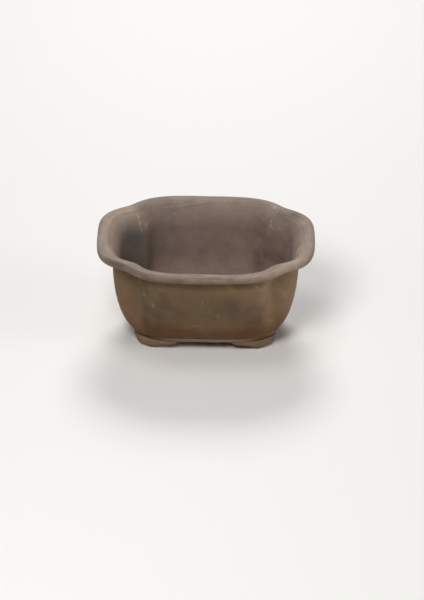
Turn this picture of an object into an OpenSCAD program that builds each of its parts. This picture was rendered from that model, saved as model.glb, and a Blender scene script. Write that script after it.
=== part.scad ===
// Unglazed oblong bonsai pot with four lobes, luted together from separate clay pieces.
// The origin is on the table under the middle of the pot: +X along its length, +Z up, front towards -Y.
// All lengths are in millimetres and all angles in degrees.

/* [Overall] */
// Length over the lip
pot_l = 254; // [180:1:360]
// Depth over the lip
pot_d = 204; // [150:1:300]
// Height from the table to the crown of the lip
pot_h = 124; // [95:1:180]

/* [Lip] */
// Radius of the rolled edge
lip_r = 5; // [3:0.5:7]
// How full the rolled edge is, where 2 is round
lip_fullness = 3.6; // [2:0.1:5]
// How far the edge stands out past the neck of the wall
lip_out = 18; // [13:0.5:24]
// Radius of the cove between the underside of the lip and the neck
cove_r = 6; // [2:0.5:8]
// Height of the flare inside, from the crown down to where the walls are upright
flare_h = 32; // [22:1:44]

/* [Walls] */
// Thickness of the walls, measured level
wall_t = 7.5; // [5:0.5:10]
// Length of the body where it meets the floor slab
base_l = 162; // [120:1:230]
// Depth of the body where it meets the floor slab
base_d = 106; // [90:1:180]
// How quickly the walls turn upright
wall_rise = 2.3; // [1.6:0.05:3.5]
// How full the turn at the bottom of the walls is
wall_fullness = 1.6; // [1.1:0.05:2.2]

/* [Lobes] */
// Squareness of the lip's outline, where 2 is an ellipse
lip_square = 3.4; // [2.2:0.1:5]
// Squareness of the neck's outline
neck_square = 3.3; // [2.2:0.1:5]
// Squareness of the outline at the floor
base_square = 5.2; // [2.5:0.1:7]
// Depth of the lip's corner notches
lip_notch = 14.5; // [6:0.5:20]
// Depth of the corner creases at the neck
neck_notch = 13.5; // [5:0.5:16]
// Depth of the corner creases at the floor
base_notch = 1.2; // [0:0.1:8]
// Half-width of a notch in the lip, as an angle about the pot's middle
lip_notch_half = 14.5; // [9:0.5:20]
// Half-width of a crease in the walls, as an angle about the pot's middle
crease_half = 9.5; // [7:0.5:16]
// How blunt the notches are, where 1 is a sharp crease and 2 a soft bell
notch_blunt = 1.7; // [1.3:0.1:2.2]

/* [Floor] */
// Thickness of the floor slab
slab_t = 5; // [4:0.5:9]
// How far the slab's edge stands out past the walls as a band, in the middle of each side
band_out = 2.5; // [0.5:0.25:4]
// Angle over which the band dies away towards each corner
band_fade = 14; // [8:1:24]
// Radius of a drain hole
drain_r = 12; // [8:0.5:15]
// Distance between the centres of the two drain holes
drain_gap = 76; // [60:1:90]
// Radius of a tie-wire hole
tie_r = 2.5; // [1.5:0.25:4]
// Distance between the tie-wire holes along the pot
tie_l = 60; // [40:1:80]
// Distance between the tie-wire holes across the pot
tie_d = 62; // [56:1:68]

/* [Feet] */
// Height of the feet
foot_h = 12; // [8:0.5:18]
// Thickness of a foot, from the slab's edge inwards
foot_t = 15; // [10:0.5:18]
// How far a foot's face swells out past the slab
foot_swell = 2; // [0:0.1:3]
// How far a foot's lower edge is rounded in
foot_round = 5; // [1:0.5:6]
// Angle that a foot runs from its corner along each side
foot_run = 24; // [16:1:30]
// Share of that run that stands flat on the table
foot_flat = 0.2; // [0.1:0.05:0.4]
// Share of that run over which the foot falls off to its side lobe
foot_shoulder = 0.22; // [0.12:0.02:0.4]
// Height of the side lobe, as a share of the foot's height
foot_side = 0.5; // [0.2:0.05:0.8]

/* [Screens] */
// Width of a square mesh screen
screen_w = 44; // [36:1:48]
// Thickness of the mesh
screen_t = 1.2; // [0.8:0.1:2]
// Distance between strands
mesh_pitch = 4; // [3:0.25:5]
// Width of a strand
strand_w = 1.2; // [0.8:0.1:1.6]

/* [Clips] */
// Radius of the clip's wire
wire_r = 0.8; // [0.5:0.05:1]
// Radius of the bends in the wire, at its middle
wire_bend = 1.6; // [1.2:0.1:2.5]
// Length of each tail folded out under the floor
clip_tail = 9; // [7:0.5:14]
// Room between the wire and what it lies on
clip_room = 0.1; // [0.05:0.05:0.3]
// Room between a leg of the clip and the edge of the drain hole
leg_room = 0.7; // [0.3:0.1:1.5]

/* [Hidden] */

// Clay colours: the body outside, the wiped lip, the slab's edge and the feet
clay = [0.39, 0.32, 0.26];
lip_clay = [0.53, 0.46, 0.42];
slab_clay = [0.44, 0.37, 0.30];
foot_clay = [0.42, 0.34, 0.28];
mesh_black = [0.10, 0.10, 0.10];
wire_silver = [0.70, 0.70, 0.72];

// Steps of angle round the whole outline, a multiple of 8 so that the seams fall on a step
round_steps = 96;
seam_steps = round_steps / 4;
wall_levels = 20;
// How much the levels of a wall crowd towards the floor, where it turns most
wall_crowd = 1.3;
// Share of the neck's outline in the lip's where its underside meets the cove
under_share = 0.3;
round_fn = 48;
sliver = 0.5;

// Heights of the floor, of the neck, where the lip is luted to the walls, and of the flare's foot
slab_top = foot_h + slab_t;
neck_z = pot_h - 2 * lip_r - cove_r;
flare_foot = pot_h - flare_h;
// Angle round the flare at which it passes the neck
flare_at_neck = acos(1 - (pot_h - neck_z) / flare_h);

// Angle of each corner, where two walls meet over a foot
corner_back_right = 45;
corner_back_left = 135;
corner_front_left = 225;
corner_front_right = 315;

// The clip's legs stand in the mesh openings nearest to the edge of the drain hole
leg_cells = floor((drain_r - wire_r - leg_room) / (sqrt(2) * mesh_pitch) + 0.5) - 0.5;
leg_at = leg_cells * mesh_pitch;
loop_r = leg_at + wire_bend;
loop_at = leg_at + loop_r;
clip_z = slab_top + screen_t + clip_room + wire_r;
tail_z = foot_h - clip_room - wire_r;

function mix(from, to, share) = from + (to - from) * share;

// Angle from the nearest corner
function from_corner(t) = abs((t + 360) % 90 - 45);

// One point of a lobed outline at angle t: a superellipse of half-sizes a and b, cut in at each
// 45 degree corner by a bell-shaped notch of the given depth and half-width
function lobed(t, a, b, square, notch, half) =
    let (swell = pow(pow(abs(cos(t)), square) + pow(abs(sin(t)), square), -1 / square),
         corner = pow(2, -1 / square) * norm([a, b]),
         reach = swell * (1 - notch / corner * exp(-pow(from_corner(t) / half, notch_blunt))))
    [a * reach * cos(t), b * reach * sin(t)];

// A level of the pot: half-length, half-depth, height, squareness, notch depth and notch half-width
function level_point(level, t) =
    concat(lobed(t, level[0], level[1], level[3], level[4], level[5]), level[2]);

// The body at height z, a distance inset in from its outer face
function body_level(z, inset) =
    let (u = (z - slab_top) / (neck_z - slab_top),
         grow = pow(1 - pow(1 - u, wall_rise), 1 / wall_fullness))
    [mix(base_l, pot_l - 2 * lip_out, grow) / 2 - inset,
     mix(base_d, pot_d - 2 * lip_out, grow) / 2 - inset,
     z, mix(base_square, neck_square, grow), mix(base_notch, neck_notch, grow), crease_half];

// A level on the lip, a distance in from its edge, with a share of the neck's outline in it
function lip_level(inset, z, share) =
    [pot_l / 2 - inset, pot_d / 2 - inset, z,
     mix(lip_square, neck_square, share), mix(lip_notch, neck_notch, share),
     mix(lip_notch_half, crease_half, share)];

// The level on the flare at angle a, from the crown at 0 to the inner face of the walls at 90
function flare_level(a) =
    let (crown = lip_level(lip_r, pot_h, 0), wall = body_level(flare_foot, wall_t))
    [mix(crown[0], wall[0], sin(a)), mix(crown[1], wall[1], sin(a)),
     mix(crown[2], wall[2], 1 - cos(a)),
     mix(crown[3], wall[3], a / 90), mix(crown[4], wall[4], a / 90), mix(crown[5], wall[5], a / 90)];

// The inner face at height z: the flare above its foot, and the body's own shape below
function inner_level(z) =
    z > flare_foot ? flare_level(acos(1 - (pot_h - z) / flare_h)) : body_level(z, wall_t);

// Levels of a wall, up its outer face and back down its inner face
wall_heights = [for (i = [0 : wall_levels]) mix(slab_top, neck_z, pow(i / wall_levels, wall_crowd))];
wall_loop = concat([for (z = wall_heights) body_level(z, 0)],
                   [for (i = [wall_levels : -1 : 0]) inner_level(wall_heights[i])]);

// A sine or cosine, made fuller for the rolled edge
function full(share) = sign(share) * pow(abs(share), 2 / lip_fullness);

// Levels of the lip: out from the neck along the cove, round the edge, and in and down the flare
cove_steps = 6;
edge_steps = 10;
flare_steps = 7;
lip_loop = concat(
    [for (i = [0 : cove_steps])
        let (a = 90 * (1 - i / cove_steps))
        lip_level(lip_out - cove_r * (1 - sin(a)), neck_z + cove_r * cos(a), mix(under_share, 1, a / 90))],
    [for (i = [0 : edge_steps])
        let (a = 180 * i / edge_steps - 90)
        lip_level(lip_r * (1 - full(cos(a))), pot_h - lip_r * (1 - full(sin(a))), 0)],
    [for (i = [1 : flare_steps]) flare_level(flare_at_neck * i / flare_steps)]);

// A solid skinned over rows of points, each row a loop round the cross-section: up the outer face,
// then down the inner face. A closed solid joins its last row to its first.
module skinned(rows, closed = false) {
    count = len(rows);
    size = len(rows[0]);
    sides = [for (i = [0 : count - (closed ? 1 : 2)], j = [0 : size - 1])
        let (i2 = (i + 1) % count, j2 = (j + 1) % size,
             a = i * size + j, b = i * size + j2, c = i2 * size + j2, d = i2 * size + j)
        each [[a, b, c], [a, c, d]]];
    last = (count - 1) * size;
    ends = [for (j = [0 : size / 2 - 2])
        let (a = j, b = j + 1, c = size - 2 - j, d = size - 1 - j)
        each [[a, c, b], [a, d, c], [last + a, last + b, last + c], [last + a, last + c, last + d]]];
    polyhedron([for (row = rows) each row], closed ? sides : concat(sides, ends));
}

// A wall panel from the seam at angle start to the next seam
module wall_panel(start) {
    rows = [for (i = [0 : seam_steps])
        [for (level = wall_loop) level_point(level, start + i * 360 / round_steps)]];
    color(clay) skinned(rows);
}

module front_wall() { wall_panel(corner_front_left); }
module back_wall() { wall_panel(corner_back_right); }
module left_wall() { wall_panel(corner_back_left); }
module right_wall() { wall_panel(corner_front_right); }

module rim_lip() {
    rows = [for (i = [0 : round_steps - 1])
        [for (level = lip_loop) level_point(level, i * 360 / round_steps)]];
    color(lip_clay) skinned(rows, closed = true);
}

// The outline of the slab, a distance inset in from its edge: flush with the walls at the corners
function slab_point(t, inset) =
    let (out = band_out * (1 - exp(-pow(from_corner(t) / band_fade, 2))) - inset)
    lobed(t, base_l / 2 + out, base_d / 2 + out, base_square, base_notch, crease_half);

module drain_places() {
    for (side = [-1, 1]) translate([side * drain_gap / 2, 0, 0]) children();
}

module tie_places() {
    for (x = [-1, 1], y = [-1, 1]) translate([x * tie_l / 2, y * tie_d / 2, 0]) children();
}

// The floor slab with its drain holes and tie-wire holes
module base_slab() {
    color(slab_clay)
    translate([0, 0, foot_h])
    difference() {
        linear_extrude(slab_t)
            polygon([for (i = [0 : round_steps - 1]) slab_point(i * 360 / round_steps, 0)]);
        translate([0, 0, -sliver]) {
            drain_places() cylinder(r = drain_r, h = slab_t + 2 * sliver, $fn = round_fn);
            tie_places() cylinder(r = tie_r, h = slab_t + 2 * sliver, $fn = round_fn);
        }
    }
}

// Height of a foot at a share of its run, from -1 to 1: full over the flat, falling off a bell's shoulder
// to a lower side lobe with a round end
function foot_drop(share) =
    let (past = max(0, abs(share) - foot_flat),
         side = foot_side * sqrt(1 - pow(share, 4)))
    mix(sliver, foot_h, mix(side, 1, exp(-pow(past / foot_shoulder, 2))));

// A cloud foot: it follows the slab's edge round its corner, swells in front and tapers to both ends
module cloud_foot(corner) {
    steps = 24;
    face_steps = 7;
    rows = [for (i = [0 : steps])
        let (share = 2 * i / steps - 1, t = corner + share * foot_run,
             drop = foot_drop(share), scale_in = drop / foot_h)
        concat(
            [for (j = [0 : face_steps])
                let (a = 90 * (1 - j / face_steps),
                     inset = (foot_round * (1 - cos(a)) - foot_swell * sin(2 * a)) * scale_in)
                concat(slab_point(t, inset), foot_h - drop * sin(a))],
            [for (j = [0 : face_steps])
                concat(slab_point(t, foot_t), foot_h - drop * j / face_steps)])];
    color(foot_clay) skinned(rows);
}

module foot_front_left() { cloud_foot(corner_front_left); }
module foot_front_right() { cloud_foot(corner_front_right); }
module foot_back_left() { cloud_foot(corner_back_left); }
module foot_back_right() { cloud_foot(corner_back_right); }

// A square of mesh that lies on the floor over a drain hole, with a strand through its middle
module drain_screen(side) {
    cells = floor((screen_w - strand_w) / 2 / mesh_pitch);
    color(mesh_black)
    translate([side * drain_gap / 2, 0, slab_top])
    linear_extrude(screen_t)
    difference() {
        square(screen_w, center = true);
        for (i = [-cells : cells - 1], j = [-cells : cells - 1])
            translate([(i + 0.5) * mesh_pitch, (j + 0.5) * mesh_pitch])
                square(mesh_pitch - strand_w, center = true);
    }
}

module drain_screen_left() { drain_screen(-1); }
module drain_screen_right() { drain_screen(1); }

// A stretch of the clip's wire that turns through an angle
module wire_turn(radius, angle) {
    rotate_extrude(angle = angle, $fn = round_fn)
        translate([radius, 0]) circle(wire_r, $fn = round_fn);
}

module wire_run(length) {
    cylinder(r = wire_r, h = length, $fn = round_fn);
}

// Half of a clip: half its bar, a loop that lies on the mesh, a leg down through the mesh and the
// drain hole, and a tail folded out under the floor
module clip_half() {
    translate([0, 0, clip_z]) rotate([0, 90, 0]) wire_run(loop_at);
    translate([loop_at, loop_r, clip_z]) rotate([0, 0, -90]) wire_turn(loop_r, 270);
    translate([leg_at, loop_r, clip_z - wire_bend]) rotate([90, 0, -90]) wire_turn(wire_bend, 90);
    translate([leg_at, leg_at, tail_z + wire_bend]) wire_run(clip_z - tail_z - 2 * wire_bend);
    translate([leg_at + wire_bend, leg_at, tail_z + wire_bend]) rotate([-90, 0, 180]) wire_turn(wire_bend, 90);
    translate([leg_at + wire_bend, leg_at, tail_z]) rotate([0, 90, 0]) wire_run(clip_tail);
}

module screen_clip(side) {
    color(wire_silver)
    translate([side * drain_gap / 2, 0, 0])
    for (turn = [0, 180]) rotate([0, 0, turn]) clip_half();
}

module screen_clip_left() { screen_clip(-1); }
module screen_clip_right() { screen_clip(1); }

base_slab();
front_wall();
back_wall();
left_wall();
right_wall();
rim_lip();
foot_front_left();
foot_front_right();
foot_back_left();
foot_back_right();
drain_screen_left();
drain_screen_right();
screen_clip_left();
screen_clip_right();
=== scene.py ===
"""An unglazed four-lobed bonsai pot of brown stoneware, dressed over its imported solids."""

import math

import bpy
import numpy as np
from mathutils import Matrix, Vector
from mathutils.geometry import delaunay_2d_cdt


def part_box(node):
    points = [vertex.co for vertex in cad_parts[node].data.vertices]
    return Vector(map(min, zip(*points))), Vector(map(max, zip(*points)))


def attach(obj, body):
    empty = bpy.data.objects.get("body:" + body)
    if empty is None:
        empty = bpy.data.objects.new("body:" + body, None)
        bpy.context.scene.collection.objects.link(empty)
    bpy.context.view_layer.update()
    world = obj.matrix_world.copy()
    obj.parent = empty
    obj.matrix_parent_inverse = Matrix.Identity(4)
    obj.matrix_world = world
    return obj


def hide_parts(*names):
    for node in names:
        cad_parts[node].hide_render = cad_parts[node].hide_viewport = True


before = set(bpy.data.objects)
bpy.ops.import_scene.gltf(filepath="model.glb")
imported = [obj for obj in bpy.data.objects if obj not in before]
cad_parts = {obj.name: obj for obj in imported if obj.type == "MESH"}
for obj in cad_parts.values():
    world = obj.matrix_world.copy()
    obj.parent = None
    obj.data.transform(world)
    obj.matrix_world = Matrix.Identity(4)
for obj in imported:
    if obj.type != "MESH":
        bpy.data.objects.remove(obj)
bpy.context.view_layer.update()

MM = 0.001
QUARTER_TURN = math.pi / 2
TINY = 1e-12
FILL_ROUNDING = 1e-9

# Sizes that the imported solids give
lip_low, lip_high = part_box("rim_lip")
slab_low, slab_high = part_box("base_slab")
screen_low, screen_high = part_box("drain_screen_right")
clip_low, clip_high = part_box("screen_clip_right")

# Shape of the clay, with the same values as the solids
LIP_R = 5 * MM
LIP_OUT = 18 * MM
FLARE_H = 32 * MM
WALL_T = 7.5 * MM
BAND_OUT = 2.5 * MM
BAND_FADE = 14.0
LIP_FULLNESS = 3.6
WALL_RISE = 2.3
WALL_FULLNESS = 1.6
WALL_CROWD = 1.3
UNDER_SHARE = 0.3
LIP_SQUARE, NECK_SQUARE, BASE_SQUARE = 3.4, 3.3, 5.2
LIP_NOTCH, NECK_NOTCH, BASE_NOTCH = 14.5 * MM, 13.5 * MM, 1.2 * MM
LIP_NOTCH_HALF, CREASE_HALF = 14.5, 9.5
NOTCH_POWER = 1.7
DRAIN_R = 12 * MM
TIE_R = 2.5 * MM
TIE_L, TIE_D = 60 * MM, 62 * MM
FOOT_T = 15 * MM
FOOT_SWELL = 2 * MM
FOOT_ROUND = 5 * MM
FOOT_RUN = 24.0
FOOT_FLAT = 0.2
FOOT_SHOULDER = 0.22
FOOT_SIDE = 0.5
FOOT_END = 0.5 * MM
MESH_PITCH = 4 * MM
STRAND_W = 1.2 * MM
WIRE_R = 0.8 * MM
WIRE_BEND = 1.6 * MM
LEG_AT = 1.5 * MESH_PITCH
CLIP_TAIL = 9 * MM

# Fine shape that the solids leave out: softened edges of the slab, its lean at the corners, the bead along
# the top of a foot as shares of its height, and the slow waves of a hand-built wall, each with its size in
# millimetres, its waves round the pot, its start and its turn from floor to lip
SLAB_SOFT_LOW, SLAB_SOFT_HIGH, SLAB_SOFT_CORNER = 0.4 * MM, 2.2 * MM, 0.15 * MM
SLAB_LEAN = 1.4 * MM
HOLE_SOFT = 0.8 * MM
BEAD_OUT = 0.8 * MM
BEAD_AT, BEAD_HALF = 0.10, 0.09
WOBBLE = ((0.30, 2, 0.4, 1.1), (0.22, 3, 2.3, -2.0), (0.14, 7, 5.1, 3.0), (0.08, 13, 1.7, -5.0))
WOBBLE_FULL = 0.25

half_l, half_d, top_z = lip_high.x, lip_high.y, lip_high.z
neck_z = lip_low.z
slab_top, foot_h = slab_high.z, slab_low.z
base_a, base_b = slab_high.x - BAND_OUT, slab_high.y - BAND_OUT
cove_r = top_z - 2 * LIP_R - neck_z
drain_x = (screen_low.x + screen_high.x) / 2

# Steps of the smooth surfaces
ROUND = 720
QUARTER = ROUND // 4
WALL_ROWS, COVE_ROWS, UNDER_ROWS, EDGE_ROWS, FLARE_ROWS = 56, 13, 5, 33, 32
FOOT_COLS, FOOT_ROWS = 81, 22
SOFT_ROWS = 9
DRAIN_STEPS, TIE_STEPS = 96, 40
STRAND_STEPS, STRAND_SIDES = 133, 8
WIRE_SIDES, BAR_STEPS, LEG_STEPS = 14, 12, 8
ARC_STEP, ARC_LEAST = 0.12, 8
around = np.arange(ROUND) * 2 * math.pi / ROUND

CORNERS = {"back_right": 45, "back_left": 135, "front_left": 225, "front_right": 315}


def mix(low, high, share):
    """The value a share of the way from low to high."""
    return low + (high - low) * share


def smooth(low, high, value):
    """A share that eases from 0 at low to 1 at high."""
    x = np.clip((value - low) / (high - low), 0, 1)
    return x * x * (3 - 2 * x)


def bell(offset):
    """1 where the offset is 0, falling off with its square as an exponent."""
    return np.exp(-(offset ** 2))


def corner_off(t):
    """Degrees from angle t to the corner of its quarter."""
    return np.degrees(t) % 90 - 45


def lobed(t, a, b, square, notch, half):
    """A superellipse of half-sizes a and b at angle t, cut in at each 45 degree corner by a
    bell-shaped notch of the given depth and half-width."""
    swell = (np.abs(np.cos(t)) ** square + np.abs(np.sin(t)) ** square) ** (-1 / square)
    corner = 2.0 ** (-1 / square) * np.hypot(a, b)
    off = np.abs(corner_off(t))
    reach = swell * (1 - notch / corner * np.exp(-((off / half) ** NOTCH_POWER)))
    return a * reach * np.cos(t), b * reach * np.sin(t)


def level_rows(a, b, z, square, notch, half):
    """One row for each level of a surface: what lobed needs there, and the height."""
    return np.stack(np.broadcast_arrays(a, b, z, square, notch, half), axis=-1).astype(float)


def body_levels(z, inset):
    """The body at heights z: its outline grows from the floor's to the neck's, fast at first."""
    u = np.clip((z - slab_top) / (neck_z - slab_top), 0, 1)
    grow = (1 - (1 - u) ** WALL_RISE) ** (1 / WALL_FULLNESS)
    a, b = mix(base_a, half_l - LIP_OUT, grow) - inset, mix(base_b, half_d - LIP_OUT, grow) - inset
    return level_rows(a, b, z, mix(BASE_SQUARE, NECK_SQUARE, grow), mix(BASE_NOTCH, NECK_NOTCH, grow),
                      CREASE_HALF)


def lip_levels(inset, z, share):
    """The lip a distance in from its edge, with a share of the neck's outline in it."""
    return level_rows(half_l - inset, half_d - inset, z,
                      mix(LIP_SQUARE, NECK_SQUARE, share), mix(LIP_NOTCH, NECK_NOTCH, share),
                      mix(LIP_NOTCH_HALF, CREASE_HALF, share))


def flare_levels(angle):
    """A quarter of an ellipse from the crown of the lip at 0 to the upright inner face at a quarter turn."""
    crown = lip_levels(LIP_R, top_z, 0.0)
    wall = body_levels(np.array(top_z - FLARE_H), WALL_T)
    s, c, w = np.sin(angle), 1 - np.cos(angle), angle / QUARTER_TURN
    shares = np.stack([s, s, c, w, w, w], axis=-1)
    return crown + (wall - crown) * shares


def inner_levels(z):
    """The inner face at heights z: the flare above its foot, and the body's own shape below."""
    angle = np.arccos(np.clip(1 - (top_z - z) / FLARE_H, 0, 1))
    flare = flare_levels(angle)
    wall = body_levels(np.minimum(z, top_z - FLARE_H), WALL_T)
    return np.where((z > top_z - FLARE_H)[:, None], flare, wall)


def pot_profile():
    """Levels from the foot of the outer wall up, round the lip, and down the inner wall to the floor. The
    cove under the lip is a quarter circle, and the lip's edge is half a superellipse. Returns the levels and
    the rows where the outer and inner faces pass the neck."""
    heights = mix(slab_top, neck_z, np.linspace(0, 1, WALL_ROWS) ** WALL_CROWD)
    outer = body_levels(heights, 0.0)
    a = np.linspace(QUARTER_TURN, 0, COVE_ROWS)[1:]
    cove = lip_levels(LIP_OUT - cove_r * (1 - np.sin(a)), neck_z + cove_r * np.cos(a),
                      mix(UNDER_SHARE, 1, a / QUARTER_TURN))
    inset = np.linspace(LIP_OUT - cove_r, LIP_R, UNDER_ROWS)[1:-1]
    to_cove = (inset - LIP_R) / (LIP_OUT - cove_r - LIP_R)
    under = lip_levels(inset, top_z - 2 * LIP_R, UNDER_SHARE * to_cove)
    a = np.linspace(-QUARTER_TURN, QUARTER_TURN, EDGE_ROWS)
    out, up = (np.sign(v) * np.abs(v) ** (2 / LIP_FULLNESS) for v in (np.cos(a), np.sin(a)))
    edge = lip_levels(LIP_R * (1 - out), top_z - LIP_R * (1 - up), 0.0)
    at_neck = math.acos(1 - (top_z - neck_z) / FLARE_H)
    flare = flare_levels(np.linspace(0, at_neck, FLARE_ROWS)[1:-1])
    inner = inner_levels(heights[::-1])
    levels = np.concatenate([outer, cove, under, edge, flare, inner])
    return levels, len(outer) - 1, len(levels) - len(inner)


def skin_points(levels, t):
    """Points of the levels at angles t, as a grid of levels by angles."""
    a, b, z, square, notch, half = (levels[:, i:i + 1] for i in range(6))
    x, y = lobed(t[None, :], a, b, square, notch, half)
    return np.stack([x, y, np.broadcast_to(z, x.shape)], axis=-1)


def skin_normals(points):
    """Outward directions of a grid that closes on itself along its second way."""
    up = np.gradient(points, axis=0)
    along = np.roll(points, -1, axis=1) - np.roll(points, 1, axis=1)
    n = np.cross(along, up)
    return n / np.linalg.norm(n, axis=-1, keepdims=True)


def hand_wobble(points, t):
    """The unevenness of a hand-built wall: a sum of slow sine waves round the pot and up it, under three
    quarters of a millimetre, that dies away at the floor."""
    h = (points[..., 2] - slab_top) / (top_z - slab_top)
    wave = sum(size * np.sin(turns * t + start + rise * h) for size, turns, start, rise in WOBBLE)
    return wave * MM * smooth(0.0, WOBBLE_FULL, h)


# Meshes

def put_mesh(name, points, faces, corner_normals, marks, material):
    """One object from points, faces of three or four corners as rows of indices (padded with -1), a
    direction for each corner, and named values for each point."""
    size = (faces >= 0).sum(axis=1)
    loops = faces[faces >= 0]
    mesh = bpy.data.meshes.new(name)
    mesh.vertices.add(len(points))
    mesh.vertices.foreach_set("co", points.astype(np.float32).ravel())
    mesh.loops.add(len(loops))
    mesh.loops.foreach_set("vertex_index", loops.astype(np.int32))
    mesh.polygons.add(len(faces))
    mesh.polygons.foreach_set("loop_start", np.concatenate([[0], np.cumsum(size)[:-1]]).astype(np.int32))
    mesh.polygons.foreach_set("use_smooth", np.ones(len(faces), dtype=bool))
    mesh.update(calc_edges=True)
    mesh.normals_split_custom_set(corner_normals[faces >= 0].tolist())
    for mark, values in marks.items():
        attribute = mesh.attributes.new(mark, "FLOAT", "POINT")
        attribute.data.foreach_set("value", values.astype(np.float32).ravel())
    mesh.materials.append(material)
    made = bpy.data.objects.new(name, mesh)
    bpy.context.scene.collection.objects.link(made)
    return made


def face_normals(points, faces):
    """A flat direction for each face, from its first three corners."""
    a, b, c = (points[faces[:, i]] for i in range(3))
    n = np.cross(b - a, c - a)
    return n / np.maximum(np.linalg.norm(n, axis=-1, keepdims=True), TINY)


def grid_quads(rows, cols, close_rows, close_cols):
    """Four-cornered faces of a grid of points in rows and columns, either of which may close on itself."""
    j = np.arange(rows if close_rows else rows - 1)[:, None]
    i = np.arange(cols if close_cols else cols - 1)[None, :]
    j2, i2 = (j + 1) % rows, (i + 1) % cols
    return np.stack([j * cols + i, j * cols + i2, j2 * cols + i2, j2 * cols + i], axis=-1)


def sweep_mesh(name, grid, normal, closed, flat_rows, marks, material):
    """A solid from a grid of rows by columns. The rows close on themselves round the cross-section. The
    columns close round the pot, or else end in two flat faces. Faces that start at a flat row are
    joint faces, shaded flat."""
    rows, cols = grid.shape[:2]
    quads = grid_quads(rows, cols, True, closed)
    faces = quads.reshape(-1, 4)
    points = grid.reshape(-1, 3)
    corners = normal.reshape(-1, 3)[faces]
    joint = np.isin(np.repeat(np.arange(rows), quads.shape[1]), flat_rows)
    corners[joint] = face_normals(points, faces[joint])[:, None, :]
    if not closed:
        j = np.arange(rows // 2 - 1)
        ladder = np.stack([j, j + 1, rows - 2 - j, rows - 1 - j], axis=-1) * cols
        ends = np.concatenate([ladder, ladder[:, ::-1] + cols - 1])
        end_normal = np.broadcast_to(face_normals(points, ends)[:, None, :], (len(ends), 4, 3))
        faces = np.concatenate([faces, ends])
        corners = np.concatenate([corners, end_normal])
    return put_mesh(name, points, faces, corners, marks, material)


def dress(made, node):
    """A piece stands for its node, on the pot's one body."""
    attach(made, "root")
    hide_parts(node)


# Materials

class Net:
    """Shorthand for the nodes of one material or node group."""

    def __init__(self, tree):
        self.tree = tree

    def node(self, kind, **settings):
        made = self.tree.nodes.new(kind)
        for key, value in settings.items():
            setattr(made, key, value)
        return made

    def put(self, socket, value):
        if isinstance(value, bpy.types.NodeSocket):
            self.tree.links.new(value, socket)
        else:
            socket.default_value = value

    def math(self, operation, a, b=0.0, c=0.0):
        """One sum of up to three values or sockets."""
        made = self.node("ShaderNodeMath", operation=operation)
        for socket, value in zip(made.inputs, (a, b, c)):
            self.put(socket, value)
        return made.outputs[0]

    def times(self, a, b):
        return self.math("MULTIPLY", a, b)

    def total(self, first, *others):
        for value in others:
            first = self.math("ADD", first, value)
        return first

    def ease(self, value, low, high, to_low=0.0, to_high=1.0):
        """A value that eases from to_low to to_high while the given one goes from low to high."""
        made = self.node("ShaderNodeMapRange", interpolation_type="SMOOTHSTEP")
        for socket, v in zip(made.inputs, (value, low, high, to_low, to_high)):
            self.put(socket, v)
        return made.outputs[0]

    def swing(self, noise, size):
        """Noise, which seldom leaves its middle, spread from minus to plus the size."""
        return self.ease(noise, NOISE_LOW, NOISE_HIGH, -size, size)

    def blend(self, share, a, b, blend_type="MIX"):
        """A share of colour b over colour a, or of their product."""
        made = self.node("ShaderNodeMix", data_type="RGBA", blend_type=blend_type)
        for index, value in ((0, share), (6, a), (7, b)):
            self.put(made.inputs[index], value)
        return made.outputs[2]

    def noise(self, where, scale, detail=2.0, roughness=0.5, distortion=0.0):
        made = self.node("ShaderNodeTexNoise")
        self.put(made.inputs["Vector"], where)
        settings = {"Scale": scale, "Detail": detail, "Roughness": roughness, "Distortion": distortion}
        for key, value in settings.items():
            self.put(made.inputs[key], value)
        return made.outputs["Fac"]

    def cells(self, where, scale):
        """The distance to the nearest of points strewn at random."""
        made = self.node("ShaderNodeTexVoronoi", feature="F1")
        self.put(made.inputs["Vector"], where)
        made.inputs["Scale"].default_value = scale
        return made.outputs["Distance"]

    def place(self, where, location=(0, 0, 0), scale=(1, 1, 1)):
        """Where a pattern is read, moved and stretched."""
        made = self.node("ShaderNodeMapping")
        self.put(made.inputs["Vector"], where)
        made.inputs["Location"].default_value = location
        made.inputs["Scale"].default_value = scale
        return made.outputs[0]

    def spots(self):
        """The place on the piece, in its own metres."""
        return self.node("ShaderNodeTexCoord").outputs["Object"]

    def mark(self, name):
        """A named value of the piece's points."""
        return self.node("ShaderNodeAttribute", attribute_name=name).outputs["Fac"]


def new_group(name, inputs, outputs):
    """An empty node group with named float or vector inputs and float outputs."""
    tree = bpy.data.node_groups.new(name, "ShaderNodeTree")
    for key, kind in inputs.items():
        tree.interface.new_socket(name=key, in_out="INPUT", socket_type=kind)
    for key in outputs:
        tree.interface.new_socket(name=key, in_out="OUTPUT", socket_type="NodeSocketFloat")
    net = Net(tree)
    return tree, net, net.node("NodeGroupInput").outputs, net.node("NodeGroupOutput").inputs


PLACE_ONLY = {"Where": "NodeSocketVector"}

# The middle of a noise, between which most of its values lie
NOISE_LOW, NOISE_HIGH = 0.3, 0.7

# Patches from the fire: the part of the noise that each is taken from, its scale, and the values between
# which it comes in
PATCHES = {
    "Red": ((1.3, 0.4, 2.2), 50, 0.48, 0.66),
    "Olive": ((4.1, 2.7, 0.8), 42, 0.46, 0.66),
    "Blue": ((7.7, 5.2, 3.1), 56, 0.50, 0.68),
    "Cloud": ((2.9, 8.3, 6.4), 64, 0.30, 0.70),
}


def kiln_patches_group():
    """Soft patches that the fire leaves, a few centimetres across: reddish, olive and blue-grey ones, and a
    cloud of lighter and darker clay."""
    tree, net, given, out = new_group("kiln_patches", PLACE_ONLY, PATCHES)
    for key, (place, scale, low, high) in PATCHES.items():
        noise = net.noise(net.place(given["Where"], place), scale, distortion=0.4)
        net.put(out[key], net.ease(noise, low, high))
    return tree


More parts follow.
